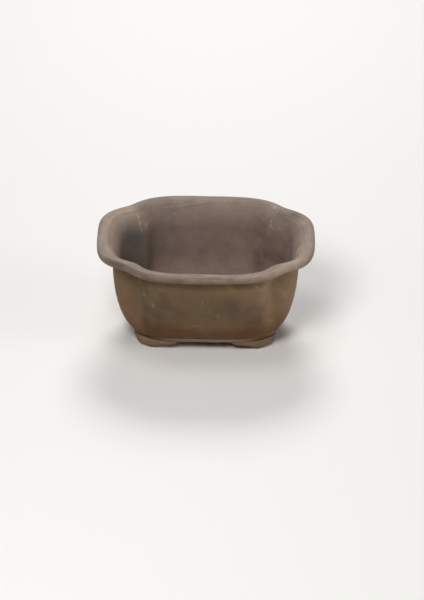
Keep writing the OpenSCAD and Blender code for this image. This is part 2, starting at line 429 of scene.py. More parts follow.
def wipe_marks_group():
    """Streaks of a wet sponge drawn round the pot: noise stretched round it and fine across the run."""
    inputs = {"Where": "NodeSocketVector", "Run": "NodeSocketFloat"}
    tree, net, given, out = new_group("wipe_marks", inputs, ["Broad", "Fine"])
    flat = net.node("ShaderNodeSeparateXYZ")
    net.put(flat.inputs[0], given["Where"])
    lined = net.node("ShaderNodeCombineXYZ")
    for socket, value in zip(lined.inputs, (flat.outputs[0], flat.outputs[1], given["Run"])):
        net.put(socket, value)
    for key, round_scale, run_scale, detail in (("Broad", 18, 240, 3), ("Fine", 55, 800, 2)):
        stretched = net.place(lined.outputs[0], scale=(round_scale, round_scale, run_scale))
        net.put(out[key], net.noise(stretched, 1, detail, roughness=0.6, distortion=0.3))
    return tree


def grit_group():
    """Sand in the clay: a fine tooth of noise, and small pits and pale grains at strewn points, the pits
    where a slow noise is high and the grains where it is low."""
    tree, net, given, out = new_group("grit", PLACE_ONLY, ["Tooth", "Pit", "Grain"])
    where = given["Where"]
    slow = net.noise(where, scale=70, detail=1)
    pit = net.ease(net.cells(where, scale=260), 0.22, 0.10)
    grain = net.ease(net.cells(net.place(where, (3.0, 1.0, 2.0)), scale=120), 0.10, 0.04)
    net.put(out["Tooth"], net.noise(where, scale=900, detail=3, roughness=0.7))
    net.put(out["Pit"], net.times(pit, net.ease(slow, 0.5, 0.62)))
    net.put(out["Grain"], net.times(grain, net.ease(slow, 0.52, 0.40)))
    return tree


def scuffs_group():
    """Pale rubbed marks: ragged noise, of which more shows where the given share is high."""
    inputs = {"Where": "NodeSocketVector", "Share": "NodeSocketFloat"}
    tree, net, given, out = new_group("scuffs", inputs, ["Scuff"])
    share = given["Share"]
    where = net.place(given["Where"], (2.0, 6.0, 1.0))
    ragged = net.noise(where, scale=330, detail=4, roughness=0.65, distortion=0.8)
    lifted = net.math("MULTIPLY_ADD", share, 0.22, ragged)
    net.put(out["Scuff"], net.times(net.ease(lifted, 0.56, 0.80), net.ease(share, 0.02, 0.6)))
    return tree


GROUPS = {
    "patches": kiln_patches_group(),
    "wipes": wipe_marks_group(),
    "grit": grit_group(),
    "scuffs": scuffs_group(),
}

# Fired clay, as the share of light that it gives back
CLAY = (0.133, 0.090, 0.050, 1)
CLAY_END = (0.156, 0.094, 0.056, 1)
# Painted shade with a painted warm reflection of light from below, for the outer body near the floor
CLAY_LOW_PAINTED_SHADE = (0.122, 0.059, 0.023, 1)
CLAY_INSIDE = (0.234, 0.168, 0.136, 1)
CLAY_WIPED = (0.260, 0.201, 0.163, 1)
CLAY_PALE = (0.33, 0.29, 0.23, 1)
# What a patch, a stain, the painted shade in the back left inner corner or the painted shade in the cove
# under the lip takes from the clay's colour
RED_TINT = (1.05, 0.87, 0.84, 1)
OLIVE_TINT = (0.93, 0.97, 0.86, 1)
BLUE_TINT = (0.86, 0.83, 1.04, 1)
STAIN_TINT = (0.82, 0.78, 1.00, 1)
# Painted shade for the back left inner corner
CORNER_SHADE_TINT = (0.48, 0.60, 0.64, 1)
# Painted shade for the cove under the lip
NOOK_SHADE_TINT = (0.62, 0.54, 0.46, 1)
# The slab's and the feet's own clay beside the walls'
NO_TINT = (1, 1, 1, 1)
SLAB_TINT = (1.0, 0.985, 0.94, 1)
FOOT_TINT = (1.08, 0.99, 0.88, 1)
# How strongly patches show on the bare body, on the wiped or inner clay and on the ends
PATCH_BARE, PATCH_WIPED, PATCH_END = 0.62, 0.2, 0.7
# How much of a scuff, a pale grain or the dust on a screen shows
SCUFF_SHOWN, GRAIN_SHOWN, DUST_SHOWN = 0.72, 0.4, 0.5
# How much lighter or darker the streaks, the cloud and the grit make the clay
STREAK, STREAK_BODY, CLOUD, TOOTH, PIT = 0.07, 0.25, 0.06, 0.06, -0.3
# The relief of the clay, and the shares that the tooth, the streaks and the pits have in it
BUMP_STRENGTH, BUMP_DEPTH = 0.3, 0.4 * MM
BUMP_TOOTH, BUMP_STREAK, BUMP_PIT = 0.35, 0.4, -0.8
# Where streaks fade and where they are strongest
STREAK_LEAST, STREAK_MOST = 0.2, 1.4
# Roughness, from the smoother to the rougher places of each finish
CLAY_ROUGH, MESH_ROUGH, WIRE_ROUGH = (0.60, 0.74), (0.42, 0.8), (0.28, 0.5)
CLAY_GLOSS = 0.22
# Colours of the screens and the clips
MESH_BLACK, MESH_DUST = (0.018, 0.018, 0.018, 1), (0.10, 0.085, 0.07, 1)
WIRE_BRIGHT, WIRE_DULL = (0.72, 0.72, 0.73, 1), (0.50, 0.49, 0.48, 1)

# Named values on the clay's points, which the stoneware reads
# Some of these are painted light and shade: the colour near the floor, the shade in the cove and in the back
# left inner corner, and the lighter and darker tones
MARKS = ("run", "inside", "wiped", "end", "low", "nook", "rubbed", "stained", "corner_shade", "tone")


def new_material(name):
    """A material with its nodes and its shader."""
    material = bpy.data.materials.new(name)
    material.use_nodes = True
    return material, Net(material.node_tree), material.node_tree.nodes["Principled BSDF"]


def clay_colour(net, marks, groups, tint):
    """The clay of each part of the pot, with painted shade and a painted warm reflection near the floor,
    tinted by patches and stains, by painted shade in the back left inner corner and in the cove under the
    lip, then rubbed pale.
    """
    patches, wipes = groups["patches"], groups["wipes"]
    colour = net.blend(marks["end"], CLAY, CLAY_END)
    colour = net.blend(marks["low"], colour, CLAY_LOW_PAINTED_SHADE)
    colour = net.blend(marks["inside"], colour, CLAY_INSIDE)
    streaky = net.ease(wipes["Broad"], NOISE_LOW, NOISE_HIGH, 0.6, 1.0)
    colour = net.blend(net.times(marks["wiped"], streaky), colour, CLAY_WIPED)
    covered = net.math("MAXIMUM", marks["inside"], marks["wiped"])
    bare = net.ease(covered, 0.0, 1.0, PATCH_BARE, PATCH_WIPED)
    bare = net.times(bare, net.ease(marks["end"], 0.0, 1.0, 1.0, PATCH_END))
    for key, taint in (("Red", RED_TINT), ("Olive", OLIVE_TINT), ("Blue", BLUE_TINT)):
        colour = net.blend(net.times(patches[key], bare), colour, taint, "MULTIPLY")
    for key, taint in (("stained", STAIN_TINT), ("corner_shade", CORNER_SHADE_TINT), ("nook", NOOK_SHADE_TINT)):
        colour = net.blend(marks[key], colour, taint, "MULTIPLY")
    colour = net.blend(1.0, colour, tint, "MULTIPLY")
    colour = net.blend(net.times(groups["scuffs"]["Scuff"], SCUFF_SHOWN), colour, CLAY_PALE)
    return net.blend(net.times(groups["grit"]["Grain"], GRAIN_SHOWN), colour, CLAY_PALE)


def clay_tone(net, where, marks, groups):
    """How light the clay is: 1, plus the painted light and shade and the clay's tone on its points, streaks
    that come and go, cloud and grit.
    """
    patches, wipes, grit = groups["patches"], groups["wipes"], groups["grit"]
    streak = net.total(net.swing(wipes["Broad"], STREAK), net.swing(wipes["Fine"], STREAK))
    streak = net.times(streak, net.ease(marks["wiped"], 0.0, 1.0, STREAK_BODY, 1.0))
    fading = net.ease(net.noise(where, scale=26), 0.35, 0.65, STREAK_LEAST, STREAK_MOST)
    streak = net.times(streak, fading)
    cloud = net.ease(patches["Cloud"], 0.0, 1.0, -CLOUD, CLOUD)
    sand = net.math("MULTIPLY_ADD", grit["Pit"], PIT, net.swing(grit["Tooth"], TOOTH))
    return net.total(streak, cloud, sand, marks["tone"], 1.0)


def clay_bump(net, groups):
    """The relief of the grit and of the sponge's streaks."""
    wipes, grit = groups["wipes"], groups["grit"]
    bump = net.node("ShaderNodeBump")
    bump.inputs["Strength"].default_value = BUMP_STRENGTH
    bump.inputs["Distance"].default_value = BUMP_DEPTH
    tooth, streak, pit = (net.times(value, share) for value, share in (
        (grit["Tooth"], BUMP_TOOTH), (wipes["Fine"], BUMP_STREAK), (grit["Pit"], BUMP_PIT)))
    net.put(bump.inputs["Height"], net.total(tooth, streak, pit))
    return bump.outputs[0]


def stoneware(name, tint):
    """Unglazed stoneware. The body is redder and darker near the floor, painted shade with a painted warm
    reflection of light from below, and a little purple inside, the lip is wiped pale in streaks, patches
    from the fire lie over all of it, and marks are rubbed or stained where the surface says so. Painted
    shade lies in the cove under the lip, along the band's foot and in the back left inner corner, and
    painted light and shade lie in strokes and on the band and feet."""
    material, net, shader = new_material(name)
    where = net.spots()
    marks = {key: net.mark(key) for key in MARKS}
    groups = {}
    for key, tree in GROUPS.items():
        group = net.node("ShaderNodeGroup", node_tree=tree)
        for socket, value in (("Where", where), ("Run", marks["run"]), ("Share", marks["rubbed"])):
            if socket in group.inputs:
                net.put(group.inputs[socket], value)
        groups[key] = group.outputs
    shade = net.node("ShaderNodeHueSaturation")
    net.put(shade.inputs["Color"], clay_colour(net, marks, groups, tint))
    net.put(shade.inputs["Value"], clay_tone(net, where, marks, groups))
    net.put(shader.inputs["Base Color"], shade.outputs[0])
    net.put(shader.inputs["Roughness"], net.ease(groups["wipes"]["Broad"], 0.25, 0.75, *CLAY_ROUGH))
    net.put(shader.inputs["Normal"], clay_bump(net, groups))
    shader.inputs["Specular IOR Level"].default_value = CLAY_GLOSS
    return material


def mesh_plastic():
    """Black plastic strands, dusted unevenly with dried clay water."""
    material, net, shader = new_material("mesh_plastic")
    dust = net.ease(net.noise(net.spots(), scale=90, detail=4, roughness=0.6), 0.45, 0.75)
    net.put(shader.inputs["Base Color"], net.blend(net.times(dust, DUST_SHOWN), MESH_BLACK, MESH_DUST))
    net.put(shader.inputs["Roughness"], net.ease(dust, 0.0, 1.0, *MESH_ROUGH))
    return material


def drawn_wire():
    """Soft aluminium wire, bright with dull patches."""
    material, net, shader = new_material("drawn_wire")
    dull = net.ease(net.noise(net.spots(), scale=180, detail=3, roughness=0.6), 0.4, 0.7)
    net.put(shader.inputs["Base Color"], net.blend(dull, WIRE_BRIGHT, WIRE_DULL))
    net.put(shader.inputs["Roughness"], net.ease(dull, 0.0, 1.0, *WIRE_ROUGH))
    shader.inputs["Metallic"].default_value = 1.0
    return material


def clay_marks(shape, **given):
    """Every mark that the stoneware reads, 0 where none is given."""
    return {key: np.broadcast_to(given.get(key, 0.0), shape) for key in MARKS}


# Walls and lip

# Strokes drawn on the inner and outer clay, each from one place to another: the angle round the pot
# in degrees and the height in millimetres at both ends, the width in millimetres and the strength
RUBBED = {
    "in": (
        # Back left corner
        (137.5, 117, 138, 110, 1.6, 1.0), (138, 110, 138, 102, 1.2, 0.5), (134.5, 105, 132.5, 105, 1.6, 1.0),
        (137, 122, 137.5, 118, 1.2, 0.4),
        # Back
        (110.5, 110, 110.5, 111, 1.2, 1.3), (115.5, 117, 103.5, 119, 0.8, 0.8),
        (103.5, 119, 91, 121, 0.8, 0.8),
        # Back right corner
        (50.5, 116, 50.5, 112, 1.6, 0.7), (52.5, 110, 52.5, 107, 1.4, 0.6), (45, 115, 44, 108, 1.3, 1.0),
        (43.5, 108, 42, 106, 1.3, 1.0), (40.5, 105, 37.5, 107, 1.2, 1.0), (60, 121, 48, 123.5, 1.6, 0.5),
        (49, 124, 51, 124, 2.0, 1.0),
        # Left end
        (168, 122.5, 172, 117, 2.0, 0.5), (185, 121, 190, 116, 2.0, 0.5), (203, 123.5, 199, 115, 2.5, 0.7),
        (195, 123, 207, 123, 2.0, 0.6),
        # Right end
        (28, 120, 13, 119, 1.6, 0.6), (13, 119, 356, 120, 1.6, 0.6), (350, 118, 343, 112, 4.0, 0.9),
    ),
    "out": (
        # Front left corner
        (231.5, 86, 233.5, 83, 1.3, 1.0), (238, 80, 240, 74, 3.5, 0.45), (240, 72, 239.5, 66, 2.5, 0.12),
        (235.5, 98, 239, 96, 3.0, 0.35), (213, 82, 213, 81, 1.3, 0.8),
        # Front
        (263.5, 121, 266, 121, 1.5, 0.9), (270, 120, 276, 120, 1.5, 0.5), (269, 81, 269, 80, 1.0, 0.7),
        (278.5, 62, 278.5, 61, 1.2, 0.8), (262, 44, 266, 44, 1.0, 0.7),
        # Front right corner
        (300.5, 99, 301, 97, 1.5, 0.6), (304, 96, 304, 94, 1.5, 0.6), (312, 46, 317, 42, 1.5, 0.5),
    ),
}
STAINED = {
    "in": ((116, 96, 96, 84, 18, 0.3),),
    "out": ((287, 74, 288, 66, 9, 1.2), (246, 87, 246, 85, 6, 0.6), (307, 92, 307, 90, 1.5, 0.8)),
}
# Painted shade in the back left inner corner and on the back wall beside it
PAINTED_CORNER_SHADE = {"in": ((142, 94, 141, 55, 18, 0.92), (120, 102, 120, 58, 12, 0.28), (147, 104, 147, 96, 11, 0.35))}
REDDENED = {"out": ((306, 92, 307, 42, 9, 0.85), (238, 46, 250, 38, 10, 0.6), (229, 66, 226, 40, 9, 0.35))}
# Broad lighter and darker places: mostly painted light and shade, as highlights on the lip, the shadow under
# it and shade in the corners, with some tone of the clay itself
PAINTED_LIGHT_AND_TONE_STROKES = {
    "in": (
        # Left end and back left corner
        (146, 121, 147, 121, 18, 0.28), (139, 122, 142, 112, 7, 0.14), (138, 124, 140, 123, 5, 0.16),
        (160, 124, 166, 123, 7, 0.16), (172, 124, 192, 124, 6, 0.13), (196, 120, 207, 120, 4, 0.14),
        (131.5, 98, 132.5, 60, 5, 0.16),
        # Back
        (122, 124, 112, 124, 4, -0.16), (124, 123, 134, 123, 6, -0.16), (128, 120, 112, 116, 9, -0.12),
        (82, 112, 62, 113, 10, 0.14), (100, 92, 72, 88, 16, 0.14), (116, 96, 96, 84, 18, 0.07),
        (118, 64, 76, 64, 11, -0.12),
        # The dark line that a rib left along the back
        (118, 115.5, 103.5, 117, 1, -0.14), (103.5, 117, 89, 119.5, 1, -0.14),
        # Back right corner
        (58, 108, 46, 112, 6, -0.12), (57, 96, 57, 66, 8, -0.08), (56, 62, 54, 46, 8, -0.36),
        (54, 84, 50, 84, 6, 0.08), (44, 104, 44, 92, 6, -0.12), (44, 70, 34, 70, 10, -0.30),
        (40, 122, 38, 122, 9, -0.18), (40, 93, 32, 98, 6, 0.10), (35, 124, 31, 124, 5, -0.20),
        (34, 98, 32, 84, 8, -0.04), (31, 112, 30, 106, 5, -0.14), (26, 124, 36, 124, 4, -0.14),
        # Right end
        (30, 119, 22, 123, 6, 0.12), (25, 92, 25, 84, 6, 0.16), (8, 124, 352, 124, 6, 0.08),
        (349, 118, 346, 114, 4, 0.12), (343.5, 117, 345, 117, 5, 0.12), (333, 122, 345, 121, 5, 0.16),
        (328, 122, 336, 120, 5, 0.16),
        # Crown of the front lip
        (226, 124, 243, 124, 4, -0.18), (250, 124, 268, 124, 3, -0.16), (317, 124, 326, 124, 4, 0.24),
        (321, 124, 330, 124, 5, 0.20),
    ),
    "out": (
        # Edge of the front lip
        (213, 121, 223, 123, 5, -0.20), (218, 120, 240, 120, 6, -0.20), (240, 117, 258, 117, 4, -0.22),
        (286, 121.5, 302, 121.5, 2.5, 0.26), (305, 122, 322, 122, 6, 0.20), (309, 122, 316, 122, 4, 0.24),
        # Front left corner
        (212, 100, 216, 80, 8, 0.12), (216, 46, 222, 38, 10, 0.24), (234, 100, 234, 70, 7, -0.16),
        (233, 62, 231, 28, 6, -0.26), (236, 78, 242, 70, 6, 0.14), (242, 66, 240, 40, 10, -0.18),
        (244, 101, 254, 100, 5, 0.20),
        # Front
        (240, 98, 286, 98, 7, 0.44), (286, 98, 306, 95, 10, 0.52), (245, 74, 295, 74, 14, -0.04),
        (293, 98, 299, 97, 6, 0.20), (288, 103, 305, 102, 4, -0.46), (281, 67, 281, 63, 8, -0.10),
        (258, 43, 292, 43, 8, 0.26), (268, 36, 274, 36, 6, 0.12),
        # Front right corner
        (295.5, 82, 304, 80, 6, 0.09), (296, 66, 298, 50, 6, -0.14), (297, 35, 310, 29, 8, -0.22),
        (304, 64, 305, 48, 7, -0.28), (311, 84, 306, 80, 6, 0.12), (313, 84, 315, 36, 7, 0.24),
        (316, 98, 319, 88, 5, 0.14), (316.5, 88, 322, 77, 6, 0.14), (318, 96, 330, 92, 20, 0.18),
        (320, 86, 324, 80, 7, 0.12), (322, 100, 328, 92, 6, 0.20), (328, 72, 332, 66, 18, 0.18),
    ),
}
# How nearly a place has to face the way of a stroke's start to take the stroke in full
SAME_FACE = 0.4

# Where the clay and its painted light and shade change: rows from the crown or past the neck, heights,
# degrees round the pot, and shares
WIPED_BELOW, WIPED_FULL, WIPED_PAST_NECK = 34, 6, 10
INSIDE_PAST_NECK = 4
# Painted shade in the cove under the lip: its rows past the neck and its strength
NOOK_SHADE_ROWS, NOOK_SHADE_SHARE = 8, 0.95
# Heights over which the painted shade and warm reflection near the floor fade out
LOW_SHADE_FULL, LOW_SHADE_GONE = 32 * MM, 58 * MM
FRONT_AT, FRONT_HALF, FRONT_LESS = 272, 9, 0.5
END_FULL, END_GONE = 41, 50
END_LEFT, END_RIGHT, END_MOST = 0.85, 0.5, 1.2
END_HIGH_FROM, END_HIGH_TO, END_HIGH_LESS, END_LOW_LESS = 66 * MM, 98 * MM, 0.5, 0.35
RUB_FROM, RUB_TO, RUB_HALF, RUB_SHARE = 0.55, 0.8, 6.0, 0.3
# Painted light on the wall's foot just above the band: its height and strength
WALL_FOOT_LIGHT_H, WALL_FOOT_PAINTED_LIGHT = 4 * MM, 0.55


def band_share(t):
    """How far the slab's band stands out at angle t: 1 along the sides, and 0 at the corners, where the wall
    runs on into the foot."""
    return 1 - bell(corner_off(t) / BAND_FADE)


class PotSkin:
    """The clay's surface from the foot of the outer wall, over the lip, down to the floor inside: a grid of
    levels by angles. The walls and the lip are cut from it, so that their faces run on past the joints."""

    def __init__(self):
        self.levels, self.neck_out, self.neck_in = pot_profile()
        even = skin_points(self.levels, around)
        self.points = even + skin_normals(even) * hand_wobble(even, around)[..., None]
        self.normal = skin_normals(self.points)
        self.crown = int(np.argmax(self.levels[:, 2]))
        self.marks = self.worn()

    def spot(self, face, angle, height):
        """Row and column of the surface nearest to an angle and a height on one face of the wall."""
        first, last = (self.crown, len(self.points)) if face == "in" else (0, self.crown + 1)
        col = int(np.argmin(np.abs(np.degrees(around) - angle)))
        return first + int(np.argmin(np.abs(self.points[first:last, col, 2] - height * MM))), col

    def marked(self, strokes):
        """The sum of a bell round each stroke, which stays on its own face of the wall."""
        total = np.zeros(self.points.shape[:2])
        for face, lines in strokes.items():
            for angle_a, height_a, angle_b, height_b, width, strength in lines:
                start = self.spot(face, angle_a, height_a)
                way = self.points[self.spot(face, angle_b, height_b)] - self.points[start]
                away = self.points - self.points[start]
                share = np.clip(away @ way / max(way @ way, TINY), 0, 1)
                gap = np.linalg.norm(away - share[..., None] * way, axis=-1)
                facing = smooth(0.0, SAME_FACE, self.normal @ self.normal[start])
                total += strength * bell(gap / (width * MM)) * facing
        return total

    def worn(self):
        """The marks on the surface: values that change from level to level or round the pot, and strokes."""
        t, z, row = around, self.levels[:, 2], np.arange(len(self.levels))
        outside = row < self.crown
        step = np.linalg.norm(np.diff(self.points[:, 0], axis=0), axis=-1)
        wiped = smooth(self.crown - WIPED_BELOW, self.crown - WIPED_FULL, row)
        wiped = wiped * (1 - smooth(self.crown + WIPED_FULL, self.neck_in + WIPED_PAST_NECK, row))
        level_marks = {
            "run": np.concatenate([[0], np.cumsum(step)]),
            "inside": smooth(self.crown, self.neck_in + INSIDE_PAST_NECK, row),
            "wiped": wiped,
            # Painted shade in the cove under the lip
            "nook": NOOK_SHADE_SHARE * bell((row - self.neck_out - NOOK_SHADE_ROWS) / NOOK_SHADE_ROWS),
        }
        marks = {key: np.repeat(values[:, None], ROUND, axis=1) for key, values in level_marks.items()}
        from_end = np.degrees(np.arccos(np.abs(np.cos(t))))
        side = np.where(np.cos(t) < 0, END_LEFT, END_RIGHT) * (1 - smooth(END_FULL, END_GONE, from_end))
        end = outside * (1 - END_HIGH_LESS * smooth(END_HIGH_FROM, END_HIGH_TO, z))
        marks["end"] = np.minimum(end[:, None] * side + self.marked(REDDENED), END_MOST)
        # Painted shade and a painted warm reflection of light from below on the outer body near the floor,
        # less at the front and the ends
        low = outside * (1 - smooth(LOW_SHADE_FULL, LOW_SHADE_GONE, z))
        front = bell((np.degrees(t) - FRONT_AT) / FRONT_HALF)
        marks["low"] = low[:, None] * (1 - FRONT_LESS * front) * (1 - END_LOW_LESS * side)
        high = RUB_SHARE * smooth(RUB_FROM, RUB_TO, (z - slab_top) / (top_z - slab_top))
        marks["rubbed"] = high[:, None] * bell(corner_off(t) / RUB_HALF) + self.marked(RUBBED)
        marks["stained"] = self.marked(STAINED)
        # Painted shade in the back left inner corner
        marks["corner_shade"] = self.marked(PAINTED_CORNER_SHADE)
        # Painted light on the wall's foot just above the band, which faces down and is shaded
        wall_foot_light = WALL_FOOT_PAINTED_LIGHT * outside * bell((z - slab_top) / WALL_FOOT_LIGHT_H)
        # Painted light and shade in strokes, with some tone of the clay
        marks["tone"] = wall_foot_light[:, None] * band_share(t) + self.marked(PAINTED_LIGHT_AND_TONE_STROKES)
        return marks

    def cut(self, name, rows, cols, closed, flat_rows, clay):
        """A piece of some rows and columns of the surface."""
        pick = np.ix_(rows, cols)
        marks = {key: values[pick] for key, values in self.marks.items()}
        return sweep_mesh(name, self.points[pick], self.normal[pick], closed, flat_rows, marks, clay)


def rim_lip(skin, clay):
    """The surface above the neck, all the way round."""
    rows = np.arange(skin.neck_out, skin.neck_in + 1)
    return skin.cut("rim_lip_clay", rows, np.arange(ROUND), True, [len(rows) - 1], clay)


def wall_panel(name, skin, first_corner, clay):
    """The surface below the neck, outside and inside, from one corner to the next."""
    rows = np.concatenate([np.arange(skin.neck_out + 1), np.arange(skin.neck_in, len(skin.points))])
    cols = (np.arange(QUARTER + 1) + CORNERS[first_corner] * ROUND // 360) % ROUND
    return skin.cut(name, rows, cols, False, [skin.neck_out, len(rows) - 1], clay)


# Feet and floor

# Painted light or shade on each foot, the painted highlight along its bead as a share of the height, and the
# painted shade on the half on the pot's end
FOOT_PAINTED_LIGHT = {"back_right": 0.0, "back_left": -0.05, "front_left": 0.08, "front_right": -0.12}
FOOT_WIPED = 0.35
BEAD_PAINTED_HIGHLIGHT, BEAD_PAINTED_HIGHLIGHT_AT, BEAD_PAINTED_HIGHLIGHT_HALF = 0.22, 0.06, 0.07
END_ON_PAINTED_SHADE, END_ON_FROM, END_ON_TO = -0.26, 0.05, 0.45
# The slab's edge at the corners and along the band, with painted light on the band, and the painted shade
# along the band's foot
EDGE_TONE, BAND_PAINTED_LIGHT, BAND_WIPED = 0.05, 0.50, 0.45
BAND_FOOT_PAINTED_SHADE, BAND_FOOT_SHADE_FULL, BAND_FOOT_SHADE_GONE = 0.9, 0.3 * MM, 1.4 * MM


def slab_outline(t, inset):
    """The slab's outline, a distance in from its edge."""
    out = BAND_OUT * band_share(t) - inset
    return lobed(t, base_a + out, base_b + out, BASE_SQUARE, BASE_NOTCH, CREASE_HALF)


def cloud_foot(name, corner, clay):
    """A foot swept along the slab's edge round its corner. Its section is a swelling quarter of an ellipse
    in front with a bead along its top, a flat underneath and an upright back. Its height is full over the
    flat, falls off a bell's shoulder to a lower side lobe, and ends round."""
    share = np.linspace(-1, 1, FOOT_COLS)
    past = np.maximum(0, np.abs(share) - FOOT_FLAT)
    side = FOOT_SIDE * np.sqrt(1 - share ** 4)
    drop = mix(FOOT_END, foot_h, mix(side, 1, bell(past / FOOT_SHOULDER)))
    t = np.radians(CORNERS[corner] + share * FOOT_RUN)
    phi = np.linspace(QUARTER_TURN, 0, FOOT_ROWS)
    front_down = np.sin(phi)
    bead = BEAD_OUT * bell((front_down - BEAD_AT) / BEAD_HALF)
    front_in = FOOT_ROUND * (1 - np.cos(phi)) - FOOT_SWELL * np.sin(2 * phi) - bead
    back_in = np.full((FOOT_ROWS, FOOT_COLS), FOOT_T)
    inset = np.concatenate([front_in[:, None] * drop / foot_h, back_in])
    down = np.concatenate([front_down, np.linspace(0, 1, FOOT_ROWS)])[:, None]
    x, y = slab_outline(t, inset)
    grid = np.stack([x, y, foot_h - down * drop], axis=-1)
    up = np.concatenate([np.gradient(half, axis=0) for half in (grid[:FOOT_ROWS], grid[FOOT_ROWS:])])
    normal = np.cross(np.gradient(grid, axis=1), up)
    normal /= np.maximum(np.linalg.norm(normal, axis=-1, keepdims=True), TINY)
    in_front = (np.arange(2 * FOOT_ROWS) < FOOT_ROWS)[:, None]
    # A painted highlight along the top of the bead, painted shade on the half of each foot that faces the
    # pot's end, and painted light or shade for each foot as a whole
    lit = BEAD_PAINTED_HIGHLIGHT * bell((down - BEAD_PAINTED_HIGHLIGHT_AT) / BEAD_PAINTED_HIGHLIGHT_HALF) * in_front
    end_on = smooth(END_ON_FROM, END_ON_TO, -share * np.sign(np.sin(2 * np.radians(CORNERS[corner]))))
    tone = FOOT_PAINTED_LIGHT[corner] + lit + END_ON_PAINTED_SHADE * end_on
    marks = clay_marks(grid.shape[:2], run=grid[..., 2], wiped=FOOT_WIPED, tone=tone)
    return sweep_mesh(name, grid, normal, False, [FOOT_ROWS - 1, 2 * FOOT_ROWS - 1], marks, clay)


def cut_edge(soft_low, soft_high):
    """A softened edge through the slab: a quarter circle at its foot and one at its top, of radii that may
    change along it. Returns how far each row stands back, and its height."""
    a = np.linspace(-QUARTER_TURN, 0, SOFT_ROWS)[:, None]
    back, rise = 1 - np.cos(a), 1 + np.sin(a)
    inset = np.concatenate([soft_low * back, soft_high * back[::-1]])
    z = np.concatenate([foot_h + soft_low * rise, slab_top - soft_high * rise[::-1]])
    return inset, z


def slab_edge():
    """The slab's edge carried round its outline. At the corners it leans in towards its foot."""
    share = band_share(around)
    inset, z = cut_edge(np.full(ROUND, SLAB_SOFT_LOW), mix(SLAB_SOFT_CORNER, SLAB_SOFT_HIGH, share))
    drop = np.clip((slab_top - z) / (slab_top - foot_h), 0, 1)
    x, y = slab_outline(around, inset + SLAB_LEAN * (1 - share) * np.sqrt(drop))
    return np.stack([x, y, z], axis=-1)


def hole_edge(cx, cy, radius, steps):
    """The edge of a round hole, carried round it backwards so that it faces the middle."""
    soft = np.full(steps, HOLE_SOFT)
    out, z = cut_edge(soft, soft)
    a = (np.arange(steps) * 2 * math.pi / steps)[::-1]
    return np.stack([cx + (radius + out) * np.cos(a), cy + (radius + out) * np.sin(a), z], axis=-1)


def flat_fill(points, rims, holes, way):
    """Triangles of the flat face inside the first rim and outside the other rims, which go round the holes.
    They face up where way is 1 and down where it is -1."""
    index = np.concatenate(rims)
    edges, first = [], 0
    for rim in rims:
        k = np.arange(len(rim))
        edges.append(np.stack([first + k, first + (k + 1) % len(k)], axis=-1))
        first += len(k)
    flat = [Vector(p) for p in points[index, :2].tolist()]
    _, _, tris, source, _, _ = delaunay_2d_cdt(flat, np.concatenate(edges).tolist(), [], 1, FILL_ROUNDING)
    tris = np.array([[source[v][0] for v in tri] for tri in tris])
    middle = points[index][tris].mean(axis=1)
    keep = np.ones(len(tris), dtype=bool)
    for cx, cy, radius, _ in holes:
        keep &= np.hypot(middle[:, 0] - cx, middle[:, 1] - cy) > radius + 0.5 * HOLE_SOFT
    tris = index[tris[keep]]
    turned = np.sign(face_normals(points, tris)[:, 2]) != way
    tris[turned] = tris[turned][:, ::-1]
    return tris


def floor_slab(clay):
    """The floor slab: its edge, the edges of its drain and tie holes, and the flat faces between them."""
    holes = [(sx * drain_x, 0.0, DRAIN_R, DRAIN_STEPS) for sx in (-1, 1)]
    holes += [(sx * TIE_L / 2, sy * TIE_D / 2, TIE_R, TIE_STEPS) for sx in (-1, 1) for sy in (-1, 1)]
    grids = [slab_edge()] + [hole_edge(*hole) for hole in holes]
    points = np.concatenate([grid.reshape(-1, 3) for grid in grids])
    faces, corners, low_rims, high_rims, start = [], [], [], [], 0
    for grid in grids:
        rows, cols = grid.shape[:2]
        quads = grid_quads(rows, cols, False, True).reshape(-1, 4)
        faces.append(quads + start)
        corners.append(skin_normals(grid).reshape(-1, 3)[quads])
        low_rims.append(start + np.arange(cols))
        high_rims.append(start + (rows - 1) * cols + np.arange(cols))
        start += rows * cols
    for rims, way in ((low_rims, -1), (high_rims, 1)):
        tris = flat_fill(points, rims, holes, way)
        faces.append(np.concatenate([tris, np.full((len(tris), 1), -1)], axis=1))
        corners.append(np.broadcast_to(np.array([0.0, 0.0, way]), (len(tris), 4, 3)))
    z = points[:, 2]
    edge = np.where(np.arange(len(points)) < 2 * SOFT_ROWS * ROUND, 1.0, 0.0)
    band = np.zeros(len(points))
    band[:2 * SOFT_ROWS * ROUND] = np.tile(band_share(around), 2 * SOFT_ROWS)
    # Painted shade along the foot of the band
    band_foot_shade = 1 - smooth(foot_h + BAND_FOOT_SHADE_FULL, foot_h + BAND_FOOT_SHADE_GONE, z)
    inside = (1 - edge) * (z > foot_h + SLAB_SOFT_HIGH)
    # Painted light on the band, which the wall above it shades, and a little at the corners
    tone = EDGE_TONE * (edge - band) + BAND_PAINTED_LIGHT * band
    # The slab's edge at the corners takes the same painted shade and warm reflection as the wall's foot
    marks = clay_marks(z.shape, run=z, inside=inside, wiped=BAND_WIPED * band, low=edge - band,
                       nook=BAND_FOOT_PAINTED_SHADE * band * band_foot_shade, tone=tone)
    return put_mesh("base_slab_clay", points, np.concatenate(faces), np.concatenate(corners), marks, clay)


# Screens and clips

